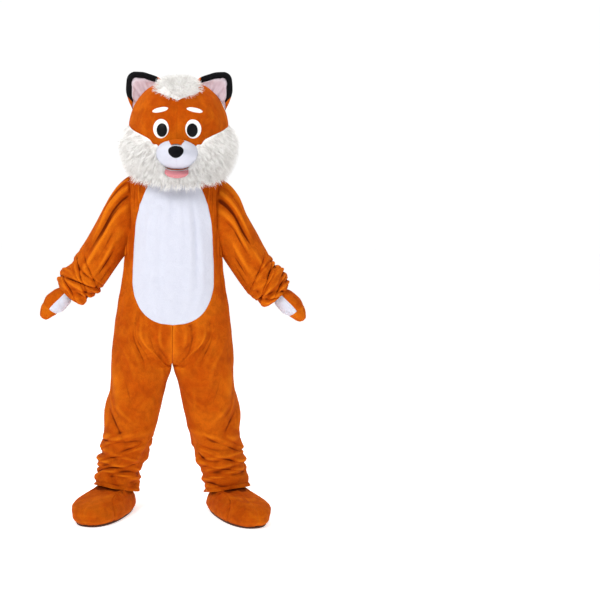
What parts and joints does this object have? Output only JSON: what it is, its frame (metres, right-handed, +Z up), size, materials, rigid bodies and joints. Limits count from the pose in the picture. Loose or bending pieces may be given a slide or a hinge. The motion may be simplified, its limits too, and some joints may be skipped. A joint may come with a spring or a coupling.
{
  "type": "full-body plush fox costume",
  "caption": "Hollow full-body plush fox costume filled out as worn, with suit, stuffed tail, mitts, foot covers and a furry head, for a standing adult.",
  "frame": {"origin": "middle of the shoulder line inside the suit, where the wearer carries it, 1.44 m above the soles", "axes": "+Z up, front towards -Y, the wearer's left towards +X"},
  "size_m": [1.1538, 0.8827, 1.912],
  "materials": {
    "orange_plush": "short soft pile",
    "long_white_fur": "long shaggy pile",
    "white_plush": "short soft pile",
    "black_plush": "short soft pile",
    "pale_lining": "short pile, matt",
    "white_felt": "flat felt",
    "black_gloss": "polished dome",
    "sole_rubber": "matt, slightly textured",
    "nose_plush": "short dense pile",
    "pink_felt": "flat felt"
  },
  "bodies": {
    "root": {"suit_front_left": "orange_plush", "suit_front_right": "orange_plush", "suit_back_left": "orange_plush", "suit_back_right": "orange_plush", "sleeve_left": "orange_plush", "sleeve_right": "orange_plush", "mitt_back_left": "orange_plush", "mitt_back_right": "orange_plush", "mitt_fingers_left": "orange_plush", "mitt_fingers_right": "orange_plush", "foot_outer_left": "orange_plush", "foot_outer_right": "orange_plush", "foot_inner_left": "orange_plush", "foot_inner_right": "orange_plush", "head_left": "orange_plush", "head_right": "orange_plush", "ear_foot_inner_left": "orange_plush", "ear_foot_inner_right": "orange_plush", "ear_foot_outer_left": "orange_plush", "ear_foot_outer_right": "orange_plush", "cheek_fur_left": "long_white_fur", "cheek_fur_right": "long_white_fur", "mitt_palm_left": "white_plush", "mitt_palm_right": "white_plush", "ear_back_left": "black_plush", "ear_back_right": "black_plush", "ear_band_left": "black_plush", "ear_band_right": "black_plush", "ear_lining_left": "pale_lining", "ear_lining_right": "pale_lining", "eye_white_left": "white_felt", "eye_white_right": "white_felt", "brow_left": "white_felt", "brow_right": "white_felt", "eye_pupil_left": "black_gloss", "eye_pupil_right": "black_gloss", "foot_sole_left": "sole_rubber", "foot_sole_right": "sole_rubber", "belly_panel": "white_plush", "tail_body": "orange_plush", "tail_tip": "long_white_fur", "snout": "white_plush", "snout_bridge": "orange_plush", "nose": "nose_plush", "lip": "pink_felt", "crown_tuft": "long_white_fur"}
  },
  "joints": []
}
